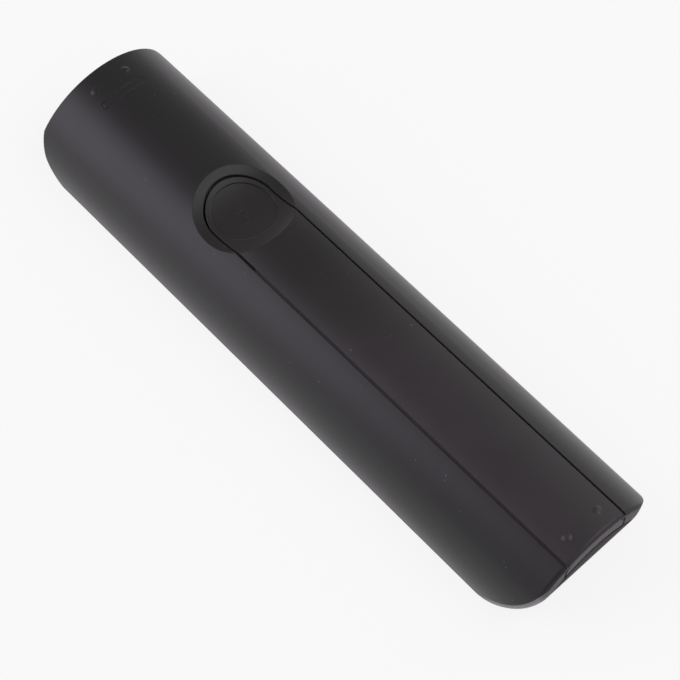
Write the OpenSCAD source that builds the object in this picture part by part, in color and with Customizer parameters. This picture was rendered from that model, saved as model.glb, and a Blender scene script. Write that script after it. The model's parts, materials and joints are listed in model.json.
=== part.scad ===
// Universal remote control lying on its front rim: half-tube back with a sliding battery door.
// Millimetres. X runs across, Y along the handset with the infrared end at +Y, Z up through the back.

/* [Body] */
// Width across the back, twice the radius of its round
body_w = 50; // [49:0.5:54]
// Length from the infrared end to the cap end
body_len = 202.4; // [201:0.2:212]
// Height of the straight rim under the round
rim_h = 2; // [1.6:0.1:3]
// Wall thickness of both shells
wall = 2.2; // [2:0.1:2.4]
// Set-back of the infrared end between its foremost line and the back
top_lean = 1.3; // [0.8:0.1:2.5]
// Plan corner radius at the infrared end
top_corner = 6; // [5:0.1:7.5]
// Radius of the infrared end below its foremost line, seen from the side
nose_r = 15; // [13:0.5:18]
// Height of that foremost line
nose_z = 9; // [8:0.5:10]
// Plan corner radius at the cap end
end_corner = 9.5; // [8:0.1:11]
// Radius of the undercut of the cap end, seen from the side
undercut_r = 31.5; // [29:0.5:50]
// Height at which that undercut begins
undercut_z = 17.5; // [16:0.5:17.5]
// Rounding of the back edge at the cap end
end_round = 1.2; // [0.8:0.1:1.6]
// Play between the front panel and the back shell
shell_fit = 0.15; // [0.1:0.05:0.3]

/* [Cap end] */
// Gap between the cap and the end ring round it
cap_side = 0.5; // [0.4:0.05:0.6]
// Bevel of the cap's round edge
cap_bevel = 0.5; // [0.3:0.1:0.8]
// Play between the cap and what slides over it under the door
cap_clear = 0.2; // [0.15:0.05:0.3]

/* [Battery door] */
// Width of the door
door_w = 20.9; // [20.4:0.1:21.3]
// Plan corner radius of the door at the cap end
door_corner = 1.6; // [1:0.1:2.2]
// Width of the seam round the door
door_seam = 0.7; // [0.5:0.05:0.8]
// Reach of the door's round end past the middle of the scoop
door_tip = 11.1; // [11:0.1:12.6]
// Thickness of the door's side tongues
tongue_t = 0.8; // [0.6:0.1:1]
// Reach of the tongues under the shell
tongue_w = 1.5; // [1.3:0.05:1.7]
// Play of the tongues in their grooves
tongue_play = 0.15; // [0.1:0.05:0.25]
// Thickness of the shell left over the tongues
tongue_cover = 0.45; // [0.4:0.05:0.6]
// Width of the ribs that hold the cells down
rib_w = 1.2; // [0.8:0.1:1.6]
// Width of the latch under the round end
latch_w = 6; // [4:0.5:8]
// Reach of the latch past the tip
latch_reach = 2.8; // [2:0.1:3.5]

/* [Thumb scoop] */
// Distance of the scoop's middle from the infrared end
scoop_from_top = 65.4; // [64:0.1:68]
// Radius of the scoop's rim, seen from above
scoop_rim = 14.16; // [13:0.1:14.2]
// Thickness of the floor under the scoop
scoop_floor = 1.4; // [1.2:0.1:1.5]
// Radius of the round recess in the scoop's floor
recess_r = 9.45; // [8.4:0.05:9.8]
// Depth of that recess
recess_d = 0.4; // [0.25:0.05:0.5]
// Side of the arrow mark
arrow_side = 3; // [2:0.1:4]
// Depth of the arrow mark
arrow_d = 0.12; // [0.08:0.02:0.2]

/* [Back marks] */
// Half the spacing of each pair of pips
pip_x = 5.65; // [5:0.1:6.2]
// Distance of the upper pips from the infrared end
pip_from_top = 6.8; // [6.4:0.1:9]
// Distance of the lower pips from the cap end
pip_from_end = 5.6; // [5.4:0.1:7]
// Radius of a pip at its foot
pip_r = 1.35; // [1.1:0.05:1.5]
// Height of a pip
pip_h = 0.4; // [0.3:0.05:0.5]
// Length of the moulded frame below the upper pips
frame_w = 14.6; // [12:0.2:16]
// Height of that frame
frame_h = 2.5; // [2:0.1:3]
// Distance of its middle from the infrared end
frame_from_top = 12.6; // [12:0.1:15]
// Width of its line
frame_line = 0.35; // [0.3:0.05:0.5]
// Depth of its line
frame_d = 0.15; // [0.1:0.05:0.2]

/* [Front panel and keys] */
// Depth of the panel behind the rim
face_recess = 1.2; // [1:0.1:1.4]
// Thickness of the panel
face_t = 1.8; // [1.6:0.1:2]
// Height of the key tops above the resting plane
key_front = 0.4; // [0.2:0.1:0.6]
// Travel of a key
key_travel = 0.7; // [0.5:0.05:0.7]
// Play round each key
key_play = 0.3; // [0.2:0.05:0.35]
// Width of the flange that keeps a key in
flange_w = 0.8; // [0.6:0.1:0.9]
// Thickness of that flange
flange_t = 0.8; // [0.6:0.1:0.9]
// Gap between flange and panel at rest
flange_gap = 0.1; // [0.05:0.05:0.15]
// Step round the top of a key
crown = 0.35; // [0.2:0.05:0.45]
// Spacing of three keys across
col_pitch = 13; // [12.8:0.1:13.4]
// Bare panel above the first row of keys
panel_top = 15.2; // [14.8:0.1:18]
// Bare panel below the last row of keys
panel_end = 18.2; // [17.8:0.1:20]
// Spacing of four keys across
quad_pitch = 10; // [9.8:0.1:10.4]
// Width of a large key
big_w = 10; // [9:0.1:10.4]
// Length of a large key
big_l = 6.5; // [6:0.1:6.7]
// Width of a small key
small_w = 7.6; // [7:0.1:7.8]
// Length of a small key
small_l = 4.8; // [4.6:0.1:5]
// Corner radius of the keys
key_corner = 2; // [1.2:0.1:2.2]
// Diameter of the power key
power_d = 9; // [8:0.1:9.6]
// Outer radius of the direction ring
ring_r = 16.5; // [15.5:0.1:17]
// Radius of the key in the middle of the ring
ok_r = 7; // [6.4:0.1:7.4]
// Width of a rocker
rocker_w = 10; // [9:0.1:10.4]
// Length of a rocker
rocker_l = 24; // [22:0.2:24.6]
// Tilt of a rocker each way, in degrees
rocker_tilt = 3; // [2:0.1:3]
// Height of the rocker tops above the resting plane
rocker_front = 1; // [0.9:0.1:1.1]

/* [Circuit] */
// Thickness of the rubber key mat
mat_t = 0.6; // [0.5:0.1:0.8]
// Height of the domes on the mat
dome_h = 0.7; // [0.7:0.1:0.9]
// Radius of a dome
dome_r = 1.8; // [1.4:0.1:2]
// Thickness of the circuit board
board_t = 1.2; // [1:0.1:1.3]
// Room between the circuit board and the shell on each side
board_side = 1.8; // [1.4:0.1:2.4]
// Room between the circuit board and the battery bay
bay_clear = 1.4; // [0.6:0.1:1.4]
// Radius of the infrared emitters
emitter_r = 2.5; // [2:0.1:2.5]
// Half the spacing of the emitters
emitter_x = 6; // [5:0.1:7]
// Half the width of the infrared window
window_hw = 12; // [11:0.2:13]
// Top of the infrared window
window_top = 13; // [12.6:0.1:14]
// Play round the window
window_play = 0.15; // [0.1:0.05:0.25]

/* [Cells] */
// Radius of a cell
cell_r = 5.25; // [5.15:0.05:5.25]
// Length of a cell over its terminals
cell_len = 44.5; // [44.1:0.1:44.5]
// Spacing of the two rows of cells
cell_pitch = 10.6; // [10.6:0.02:10.7]
// Gap between a cell and the bay floor
cell_play = 0.1; // [0.05:0.05:0.2]
// Room for the leaf spring at one end of a row
leaf_len = 4; // [3.6:0.1:4.4]
// Thickness of the contact metal
contact_t = 0.4; // [0.3:0.05:0.5]

/* [Fasteners] */
// Radius of the board screws
board_screw_r = 0.95; // [0.8:0.05:1]
// Radius of the case screws
case_screw_r = 1.05; // [0.9:0.05:1.15]
// Play of a screw in its pilot hole
pilot_play = 0.05; // [0.03:0.01:0.1]
// Radius of the board posts
board_post_r = 2.5; // [2.2:0.1:2.6]
// Radius of the case posts
case_post_r = 3; // [2.6:0.1:3.2]

/* [Hidden] */
$fn = 64;
body_r = body_w / 2;
body_h = rim_h + body_r;
back_end_y = -body_len / 2;
top_y = body_len / 2;
corner_bite = 0.05;
far = 3 * body_len;
turn_y = back_end_y + undercut_r;
nose_y = top_y - nose_r;
cap_reach = 14;

face_in = face_recess + face_t;
key_in = face_in + flange_gap + flange_t;
press_clear = 0.1;
dome_z = key_in + key_travel + press_clear;
mat_z = dome_z + dome_h;
board_z = mat_z + mat_t;
board_top = board_z + board_t;
board_w = body_w - 2 * (wall + board_side);
board_y0 = back_end_y + 7;
board_y1 = top_y - 8.7;
board_corner = 8;
mat_w = board_w - 1;
mat_y0 = back_end_y + 16.5;
mat_y1 = top_y - 14.2;
mat_corner = 4;

scoop_y = top_y - scoop_from_top;
scoop_r = body_r;
scoop_z = body_h + sqrt(scoop_r * scoop_r - scoop_rim * scoop_rim);
scoop_margin = 1.4;
pan_low = scoop_z - scoop_r - scoop_floor;

cap_r = pan_low - cap_clear - rim_h;
lip_r = cap_r + cap_side;

door_hw = door_w / 2;
opening_hw = door_hw + door_seam;
door_tip_y = scoop_y + door_tip;
door_round_y = door_tip_y - door_hw;
tongue_r1 = body_r - tongue_cover - tongue_play;
tongue_r0 = tongue_r1 - tongue_t;
tongue_y0 = back_end_y;
tongue_y1 = scoop_y - scoop_rim - 2.7;
door_low_z = rim_h + 14;
latch_t = 1.2;
latch_root = 5;
latch_drop = 1;

pip_top_y = top_y - pip_from_top;
pip_end_y = back_end_y + pip_from_end;
frame_y = top_y - frame_from_top;

rows_len = power_d + 3 * small_l + 6 * big_l + 2 * case_post_r + 2 * ring_r + rocker_l;
row_gap = (top_y - back_end_y - panel_top - panel_end - rows_len) / 12;
big_pitch = big_l + row_gap;
power_x = -col_pitch;
power_y = top_y - panel_top - power_d / 2;
device_y = power_y - power_d / 2 - row_gap - small_l / 2;
digit_y = device_y - small_l / 2 - row_gap - big_l / 2;
menu_y = digit_y - 3 * big_pitch - big_l / 2 - row_gap - case_post_r;
ring_y = menu_y - case_post_r - row_gap - ring_r;
back_y = ring_y - ring_r - row_gap - small_l / 2;
rocker_y = back_y - small_l / 2 - row_gap - rocker_l / 2;
mute_y = rocker_y + rocker_l / 2 - small_l / 2;
last_y = rocker_y - rocker_l / 2 + small_l / 2;
colour_y = rocker_y - rocker_l / 2 - row_gap - small_l / 2;
play_y = colour_y - small_l / 2 - row_gap - big_l / 2;
stop_y = play_y - big_pitch;
side_margin = 1.55;
side_x = body_r - wall - shell_fit - side_margin - flange_w - small_w / 2;

shelf_t = 1.6;
shelf_reach = 4.2;
case_post_x = 5.5;
case_post_y = menu_y;
bay_from_post = 6.8;
bay_y1 = case_post_y - bay_from_post;
bay_wall = 1.5;
bay_side = 1.4;
bay_shoulder = 3.2;
bay_shoulder_drop = 1.6;
bay_floor_t = 1.2;
bay_play = 0.25;
plate_dimple = 0.6;
dimple_r = 1.4;
end_play = 0.1;
bay_y0 = bay_y1 - 2 * cell_len - leaf_len - contact_t - plate_dimple - 3 * end_play;
bay_low = board_top + bay_clear;
bay_floor = bay_low + bay_floor_t;
cell_z = bay_floor + cell_play + cell_r;
cell_nub = 0.8;
cell_nub_r = 1.9;
bay_hw = cell_pitch / 2 + cell_r + bay_play;
bay_out = bay_hw + bay_side;
bay_end_top = cell_z + cell_r - 0.4;
contact_hw = 3.5;
contact_up = 4;
tab_hw = 1.5;
tab_play = 0.2;
strap_hw = 1;
shelf_y1 = case_post_y + shelf_reach;
shelf_z = bay_low + 3.5;
case_post_top = shelf_z - 0.1;

board_post_x = board_w / 2 - 3;
board_post_top = top_y - 11.2;
board_post_mid = ring_y + 13;
board_post_end = back_end_y + 13.5;
BOARD_POSTS = [
    for (s = [-1, 1]) each [
        [s * (board_post_x - 0.5), board_post_top], [s * board_post_x, board_post_mid],
        [s * (board_post_x - 2), board_post_end]
    ]
];
screw_play = 0.25;
screw_head_h = 1.2;
screw_head_r = 2;
case_head_h = 1.6;
case_head_r = 2.2;
cross_w = 0.45;
cross_depth = 0.55;
cross_share = 0.7;

chip_x = 10;
chip_from_top = 41.7;
chip_y = top_y - chip_from_top;
chip_w = 11;
chip_t = 1.4;
chip_lift = 0.2;
lead_span = 14;
lead_row = 9;
lead_t = 0.6;
resonator_x = -6;
resonator_from_top = 46.7;
resonator_y = top_y - resonator_from_top;
resonator_w = 9;
resonator_l = 4;
resonator_h = 3;
capacitor_x = -13;
capacitor_from_top = 29.7;
capacitor_y = top_y - capacitor_from_top;
capacitor_r = 3.1;
capacitor_h = 7;
emitter_nose = top_y - 7.2;
emitter_tail = emitter_nose - 5.5;
emitter_leg = emitter_tail - 3.5;
emitter_lift = 0.1;
leg_x = 1.27;
leg_w = 0.6;
indicator_y = top_y - 11.7;
indicator_r = 1.05;
indicator_base_r = 1.7;
indicator_play = 0.25;
window_foot = face_in + 0.8;
window_lap = 1;

function small(x, y) = [x, y, small_w, small_l, key_corner];
function big(x, y) = [x, y, big_w, big_l, key_corner];
function quad(i, y) = small((i - 1.5) * quad_pitch, y);
function digit(col, row) = big((col - 1) * col_pitch, digit_y - row * big_pitch);
POWER = [power_x, power_y, power_d, power_d, power_d / 2 - 0.1];
MENU = small(-side_x, menu_y);
GUIDE = small(side_x, menu_y);
BACK = small(-side_x, back_y);
INFO = small(side_x, back_y);
MUTE = small(0, mute_y);
LAST = small(0, last_y);
PLAIN_KEYS = [
    POWER, MENU, GUIDE, BACK, INFO, MUTE, LAST,
    for (i = [0:3]) quad(i, device_y),
    for (i = [0:3]) quad(i, colour_y),
    for (row = [0:3]) for (col = [0:2]) digit(col, row),
    for (y = [play_y, stop_y]) for (col = [0:2]) big((col - 1) * col_pitch, y)
];
ring_hole_r = ok_r + key_play;
ok_flange_z = key_in + press_clear;
ok_flange_t = 0.55;
rocker_flange_z = face_in + 0.8;
rocker_in = rocker_flange_z + flange_t;
rocker_bar = 1.2;
over = 0.2;

shell_black = [0.075, 0.072, 0.078];
panel_black = [0.1, 0.1, 0.105];
key_grey = [0.33, 0.34, 0.36];
metal = [0.72, 0.72, 0.7];

// Rounded rectangle about the origin.
module rounded(w, l, r) {
    square([w - 2 * r, l], center = true);
    square([w, l - 2 * r], center = true);
    for (sx = [-1, 1], sy = [-1, 1])
        translate([sx * (w / 2 - r), sy * (l / 2 - r)])
            circle(r);
}

// Box between two corners.
module block(a, b) {
    translate(a)
        cube(b - a);
}

// Mirror pair about the middle plane.
module pair() {
    for (s = [0, 1])
        mirror([s, 0, 0])
            children();
}

// Draws a profile given in X and Z and runs it along Y.
module along_y(y0, y1) {
    translate([0, y1, 0])
        rotate([90, 0, 0])
            linear_extrude(height = y1 - y0)
                children();
}

// Draws a profile given in Y and Z and runs it across the whole width.
module across(hw) {
    translate([-hw, 0, 0])
        rotate([90, 0, 90])
            linear_extrude(height = 2 * hw)
                children();
}

// Solid rod of the back's round, about its own axis.
module rod(r, y0, y1) {
    translate([0, 0, rim_h])
        along_y(y0, y1)
            circle(r);
}

// Half-tube section of radius r standing on a straight rim.
module section(r, z0) {
    translate([0, rim_h])
        intersection() {
            circle(r);
            translate([-far, 0])
                square([2 * far, far]);
        }
    translate([-r, z0])
        square([2 * r, rim_h - z0]);
}

// Leaning infrared end seen from the side, drawn in by a margin and open to the cap end.
module side_outline(inset, z0) {
    top_z = body_h + 3;
    function top_at(z) = top_y - inset - top_lean * (z - nose_z) / (body_h - nose_z);
    polygon([[-far, z0], [top_at(z0), z0], [top_at(top_z), top_z], [-far, top_z]]);
}

// Outline of the handset from above, drawn in by a margin.
module plan_outline(inset) {
    difference() {
        translate([-body_r - 2, back_end_y + inset])
            square([2 * body_r + 4, top_y - back_end_y - 2 * inset]);
        for (s = [-1, 1]) {
            corner_cut(s, -1, end_corner, body_r, back_end_y, inset);
            corner_cut(s, 1, top_corner, body_r, top_y, inset);
        }
    }
}

// What one rounded corner takes off a plan of half-width hw.
module corner_cut(sx, sy, r, hw, end_y, inset) {
    translate([sx * (hw - r + corner_bite), end_y - sy * (r - corner_bite)])
        difference() {
            translate([sx > 0 ? 0 : -far, sy > 0 ? 0 : -far])
                square(far);
            circle(r - inset);
        }
}

// Underside of an end: the plan, corners and all, turned about a line across the handset.
module end_turn(y, z, side, inset) {
    translate([0, y, z])
        rotate([0, 90, 0])
            rotate_extrude()
                intersection() {
                    rotate(-90 * side)
                        translate([0, -y])
                            plan_outline(inset);
                    translate([0, -far])
                        square([far, 2 * far]);
                }
}

// Plan of the handset with the undersides of both ends taken off.
module plan_solid(inset, z0) {
    low = z0 - 1;
    translate([0, 0, undercut_z])
        linear_extrude(height = far)
            plan_outline(inset);
    intersection() {
        translate([0, 0, low])
            linear_extrude(height = undercut_z - low)
                plan_outline(inset);
        union() {
            block([-far, turn_y, low], [far, nose_y, undercut_z]);
            block([-far, turn_y, nose_z], [far, far, undercut_z]);
        }
    }
    intersection() {
        end_turn(turn_y, undercut_z, -1, inset);
        block([-far, -far, low], [far, turn_y, undercut_z]);
    }
    intersection() {
        end_turn(nose_y, nose_z, 1, inset);
        block([-far, nose_y, low], [far, far, nose_z]);
    }
}

// Outside of the handset, drawn in by a margin and open below z0.
module body_solid(inset, z0) {
    intersection() {
        along_y(-far, far)
            section(body_r - inset, z0);
        across(body_w)
            side_outline(inset, z0);
        plan_solid(inset, z0);
    }
}

// Outside of the handset with the back's edge at the cap end rounded off.
module rounded_body() {
    intersection() {
        body_solid(0, 0);
        translate([0, back_end_y, rim_h])
            rotate([-90, 0, 0])
                rotate_extrude() {
                    square([body_r - end_round, far]);
                    translate([0, end_round])
                        square([2 * body_r, far]);
                    intersection() {
                        translate([body_r - end_round, end_round])
                            circle(end_round);
                        square(far);
                    }
                }
    }
}

// Widening cone that bevels the cap's round edge.
module cap_cone() {
    translate([0, back_end_y, rim_h])
        rotate([-90, 0, 0])
            cylinder(h = cap_reach, r1 = cap_r - cap_bevel, r2 = cap_r - cap_bevel + cap_reach);
}

// Rod across the handset that forms the scoop.
module scoop_rod(r) {
    translate([0, scoop_y, scoop_z])
        rotate([0, 90, 0])
            cylinder(h = 2 * body_w, r = r, center = true);
}

// Plan of the door, or of its opening, with a round end.
module door_plan(hw) {
    translate([0, 0, undercut_z - 8])
        linear_extrude(height = far) {
            translate([-hw, back_end_y - 5])
                square([2 * hw, door_round_y - back_end_y + 5]);
            translate([0, door_round_y])
                circle(hw);
        }
}

// Floor that follows the scoop under both the door and the shell.
module scoop_pan() {
    intersection() {
        scoop_rod(scoop_r + scoop_floor);
        rod(body_r - 0.8, scoop_y - scoop_rim - 2, scoop_y + scoop_rim + 2);
        block(
            [-scoop_rim - scoop_margin, scoop_y - far, door_low_z],
            [scoop_rim + scoop_margin, scoop_y + far, body_h]
        );
    }
}

// Pair of low round pips on the back's round.
module pips(y) {
    ball_r = (pip_r * pip_r + pip_h * pip_h) / (2 * pip_h);
    reach = body_r + pip_h - ball_r;
    angle = asin(pip_x / body_r);
    for (s = [-1, 1])
        difference() {
            translate([s * reach * sin(angle), y, rim_h + reach * cos(angle)])
                sphere(ball_r);
            rod(body_r - wall / 2, y - 5, y + 5);
        }
}

// Opening for the cap inside the end ring.
module lip_opening() {
    along_y(-far, back_end_y + cap_reach)
        section(lip_r, -1);
}

// Line of the moulded frame.
module frame_mark() {
    difference() {
        translate([0, frame_y, rim_h])
            linear_extrude(height = far)
                difference() {
                    square([frame_w, frame_h], center = true);
                    square([frame_w - 2 * frame_line, frame_h - 2 * frame_line], center = true);
                }
        rod(body_r - frame_d, frame_y - 5, frame_y + 5);
    }
}

// Groove for the tongues along both sides of the door opening.
module tongue_groove() {
    intersection() {
        difference() {
            rod(tongue_r1 + tongue_play, -far, tongue_y1 + tongue_play);
            rod(tongue_r0 - tongue_play, -2 * far, far);
        }
        block(
            [-door_hw - tongue_w - tongue_play, -far, door_low_z],
            [door_hw + tongue_w + tongue_play, far, far]
        );
    }
}

// Tub for the cells, hung from the back shell on both sides of the opening.
module battery_bay() {
    y0 = bay_y0 - bay_wall;
    y1 = bay_y1 + bay_wall;
    difference() {
        block([-bay_out, y0, bay_low], [bay_out, y1, bay_floor]);
        for (x = [-1, 1], y = [bay_y0 + contact_t / 2, bay_y1 - contact_t / 2])
            translate([x * cell_pitch / 2, y, bay_low])
                cube([2 * (tab_hw + tab_play), contact_t + 2 * tab_play, 3 * bay_floor_t], center = true);
    }
    for (y = [y0, bay_y1])
        block([-bay_out, y, bay_low], [bay_out, y + bay_wall, bay_end_top]);
    intersection() {
        pair() {
            block([bay_hw, y0, bay_low], [bay_out, y1, body_h]);
            block([bay_hw, y0, bay_end_top - bay_shoulder_drop], [bay_hw + bay_shoulder, y1, body_h]);
        }
        rod(tongue_r0 + over, y0, y1);
    }
    pair()
        block([bay_hw, bay_y1, bay_low], [bay_out, shelf_y1, shelf_z + 2 * shelf_t]);
    difference() {
        block([-bay_out, bay_y1, shelf_z], [bay_out, shelf_y1, shelf_z + shelf_t]);
        pair()
            translate([case_post_x, case_post_y, shelf_z - shelf_t])
                cylinder(h = 3 * shelf_t, r = case_screw_r + screw_play);
    }
}

// Opening for the infrared window, or the window's own body with play taken off.
module window_block(play) {
    block(
        [-window_hw + play, top_y - panel_top, window_foot + play],
        [window_hw - play, top_y + panel_top, window_top - play]
    );
}

module back_shell() {
    color(shell_black) {
        difference() {
            union() {
                difference() {
                    rounded_body();
                    body_solid(wall, -1);
                }
                intersection() {
                    scoop_pan();
                    body_solid(wall / 2, 0);
                }
            }
            lip_opening();
            door_plan(opening_hw);
            scoop_rod(scoop_r);
            frame_mark();
            tongue_groove();
            window_block(0);
        }
        pips(pip_top_y);
        difference() {
            battery_bay();
            tongue_groove();
            scoop_rod(scoop_r);
        }
    }
}

module front_shell() {
    color(panel_black)
        difference() {
            union() {
                intersection() {
                    body_solid(wall + shell_fit, 0);
                    block([-far, -far, face_recess], [far, far, face_in]);
                }
                intersection() {
                    along_y(-far, far)
                        section(cap_r, face_recess);
                    difference() {
                        body_solid(0, 0);
                        body_solid(wall, face_in);
                    }
                    cap_cone();
                }
                for (p = BOARD_POSTS)
                    translate([p[0], p[1], face_in - over])
                        cylinder(h = board_z - face_in + over, r = board_post_r);
                pair()
                    translate([case_post_x, case_post_y, face_in - over])
                        cylinder(h = case_post_top - face_in + over, r = case_post_r);
            }
            for (k = PLAIN_KEYS)
                translate([k[0], k[1], 0])
                    linear_extrude(height = face_in + over)
                        rounded(k[2] + 2 * key_play, k[3] + 2 * key_play, k[4] + key_play);
            translate([0, ring_y, 0])
                cylinder(h = face_in + over, r = ring_r + key_play);
            pair()
                translate([col_pitch, rocker_y, 0])
                    linear_extrude(height = face_in + over)
                        rounded(rocker_w + 2 * key_play, rocker_l + 4 * key_play, key_corner + key_play);
            translate([0, indicator_y, 0])
                cylinder(h = face_in + over, r = indicator_r + indicator_play);
            for (p = BOARD_POSTS)
                translate([p[0], p[1], face_in + 2 * over])
                    cylinder(h = far, r = board_screw_r + pilot_play);
            pair()
                translate([case_post_x, case_post_y, board_z])
                    cylinder(h = far, r = case_screw_r + pilot_play);
        }
}

module battery_door() {
    color(shell_black) {
        difference() {
            union() {
                difference() {
                    intersection() {
                        rounded_body();
                        door_plan(door_hw);
                    }
                    rod(body_r - wall, back_end_y + wall, far);
                    lip_opening();
                    for (s = [-1, 1])
                        difference() {
                            linear_extrude(height = far)
                                corner_cut(s, -1, door_corner, door_hw, back_end_y, 0);
                            rod(body_r - wall, -far, far);
                        }
                }
                intersection() {
                    scoop_pan();
                    door_plan(door_hw);
                }
                intersection() {
                    difference() {
                        rod(tongue_r1, tongue_y0, tongue_y1);
                        rod(tongue_r0, -far, far);
                    }
                    pair()
                        block([door_hw - 1, -far, door_low_z], [door_hw + tongue_w, far, far]);
                }
                intersection() {
                    pair()
                        translate([cell_pitch / 2, 0, 0])
                            block([-rib_w / 2, bay_y0, pan_low], [rib_w / 2, bay_y1, body_h]);
                    rod(body_r - wall + 0.5, -far, far);
                }
                door_latch();
            }
            scoop_rod(scoop_r);
            scoop_marks();
        }
        pips(pip_end_y);
    }
}

// Hook that reaches under the shell past the tip of the door.
module door_latch() {
    low = pan_low + latch_drop;
    root_y = door_tip_y - latch_root;
    block([-latch_w / 2, root_y, low], [latch_w / 2, root_y + latch_reach, low + 2 * latch_t]);
    block([-latch_w / 2, root_y, low], [latch_w / 2, door_tip_y + latch_reach, low + latch_t]);
}

// Round recess in the floor of the scoop, with the arrow in its middle.
module scoop_marks() {
    intersection() {
        scoop_rod(scoop_r + recess_d);
        translate([0, scoop_y, rim_h])
            cylinder(h = far, r = recess_r);
    }
    intersection() {
        scoop_rod(scoop_r + recess_d + arrow_d);
        translate([0, scoop_y, rim_h])
            linear_extrude(height = far)
                polygon([
                    [-arrow_side / 2, arrow_side * 0.4], [arrow_side / 2, arrow_side * 0.4],
                    [0, -arrow_side * 0.5]
                ]);
    }
}

module ir_window() {
    color([0.16, 0.02, 0.03]) {
        intersection() {
            window_block(window_play);
            difference() {
                body_solid(0, 0);
                body_solid(wall + window_play + window_lap / 2, -1);
            }
        }
        intersection() {
            window_block(-window_lap);
            difference() {
                body_solid(wall + window_play, 0);
                body_solid(wall + window_play + window_lap, -1);
            }
            block([-far, 0, face_in + window_play], [far, far, far]);
        }
    }
}

module circuit_board() {
    color([0.05, 0.25, 0.12])
        difference() {
            translate([0, (board_y0 + board_y1) / 2, board_z])
                linear_extrude(height = board_t)
                    rounded(board_w, board_y1 - board_y0, board_corner);
            for (p = BOARD_POSTS)
                translate([p[0], p[1], 0])
                    cylinder(h = far, r = board_screw_r + screw_play);
            pair()
                translate([case_post_x, case_post_y, 0])
                    cylinder(h = far, r = case_post_r + 2 * over);
        }
}

module key_mat() {
    color([0.45, 0.45, 0.47])
        difference() {
            union() {
                translate([0, (mat_y0 + mat_y1) / 2, mat_z])
                    linear_extrude(height = mat_t)
                        rounded(mat_w, mat_y1 - mat_y0, mat_corner);
                for (k = PLAIN_KEYS)
                    translate([k[0], k[1], dome_z])
                        cylinder(h = dome_h + over, r = dome_r);
                translate([0, ring_y, dome_z])
                    for (a = [0:90:270])
                        rotate([0, 0, a])
                            translate([(ring_r + ring_hole_r + flange_w) / 2, 0, 0])
                                cylinder(h = dome_h + over, r = dome_r);
                pair()
                    translate([col_pitch, rocker_y, 0])
                        block(
                            [-rocker_w / 2 + rocker_bar, -rocker_bar / 2, rocker_in + press_clear],
                            [rocker_w / 2 - rocker_bar, rocker_bar / 2, mat_z + over]
                        );
            }
            for (p = BOARD_POSTS)
                translate([p[0], p[1], 0])
                    cylinder(h = far, r = board_post_r + 2 * over);
            pair()
                translate([case_post_x, case_post_y, 0])
                    cylinder(h = far, r = case_post_r + 2 * over);
        }
}

module controller_chip() {
    color([0.06, 0.06, 0.07])
        translate([chip_x, chip_y, board_top]) {
            block([-chip_w / 2, -chip_w / 2, chip_lift], [chip_w / 2, chip_w / 2, chip_lift + chip_t]);
            for (a = [0, 90])
                rotate([0, 0, a])
                    block([-lead_span / 2, -lead_row / 2, 0], [lead_span / 2, lead_row / 2, lead_t]);
        }
}

module resonator() {
    color(metal)
        translate([resonator_x, resonator_y, board_top])
            linear_extrude(height = resonator_h)
                rounded(resonator_w, resonator_l, resonator_l / 2 - 0.1);
}

module filter_capacitor() {
    color([0.1, 0.12, 0.3])
        translate([capacitor_x, capacitor_y, board_top])
            cylinder(h = capacitor_h, r = capacitor_r);
}

// Infrared emitter lying on the board with its legs bent down.
module emitter(x) {
    axis_z = board_top + emitter_r + emitter_lift;
    leg_hw = leg_w / 2;
    translate([x, 0, axis_z]) {
        translate([0, emitter_nose, 0])
            sphere(emitter_r);
        along_y(emitter_tail, emitter_nose)
            circle(emitter_r);
        for (s = [-1, 1])
            translate([s * leg_x, 0, 0]) {
                block([-leg_hw, emitter_leg, -leg_hw], [leg_hw, emitter_tail + leg_w, leg_hw]);
                block([-leg_hw, emitter_leg, board_top - axis_z], [leg_hw, emitter_leg + leg_w, leg_hw]);
            }
    }
}

module ir_emitter_left() {
    color([0.35, 0.3, 0.45])
        emitter(-emitter_x);
}

module ir_emitter_right() {
    color([0.35, 0.3, 0.45])
        emitter(emitter_x);
}

module indicator_led() {
    color([0.6, 0.05, 0.04])
        translate([0, indicator_y, 0]) {
            translate([0, 0, face_recess])
                cylinder(h = board_z - face_recess, r = indicator_r);
            translate([0, 0, face_in + over])
                cylinder(h = board_z - face_in - over, r = indicator_base_r);
        }
}

// One cell with its raised terminal towards +Y, base at y0.
module cell(x, y0) {
    translate([x, 0, cell_z]) {
        along_y(y0, y0 + cell_len - cell_nub)
            circle(cell_r);
        along_y(y0 + cell_nub, y0 + cell_len)
            circle(cell_nub_r);
    }
}

row_a_base = bay_y0 + leaf_len + end_play;
module cell_a_lower() {
    color([0.2, 0.2, 0.22])
        cell(-cell_pitch / 2, row_a_base);
}

module cell_a_upper() {
    color([0.2, 0.2, 0.22])
        cell(-cell_pitch / 2, row_a_base + cell_len + end_play);
}

// The other row is turned end for end.
module turned_row() {
    translate([0, bay_y0 + bay_y1, 0])
        rotate([0, 0, 180])
            children();
}

module cell_b_lower() {
    color([0.2, 0.2, 0.22])
        turned_row()
            cell(-cell_pitch / 2, row_a_base + cell_len + end_play);
}

module cell_b_upper() {
    color([0.2, 0.2, 0.22])
        turned_row()
            cell(-cell_pitch / 2, row_a_base);
}

// Bent leaf against the lower wall of the bay, pressing on the flat end of a cell.
module leaf_contact() {
    top = cell_z + contact_up;
    foot = cell_z - contact_up;
    tip = cell_z - contact_up / 2;
    translate([-cell_pitch / 2, 0, 0]) {
        across(contact_hw)
            polygon([
                [bay_y0, foot], [bay_y0 + contact_t, foot], [bay_y0 + contact_t, top - 2.5 * contact_t],
                [bay_y0 + leaf_len - contact_t, tip - contact_t], [bay_y0 + leaf_len, tip],
                [bay_y0 + contact_t, top], [bay_y0, top]
            ]);
        block([-tab_hw, bay_y0, board_top], [tab_hw, bay_y0 + contact_t, cell_z]);
    }
}

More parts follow.
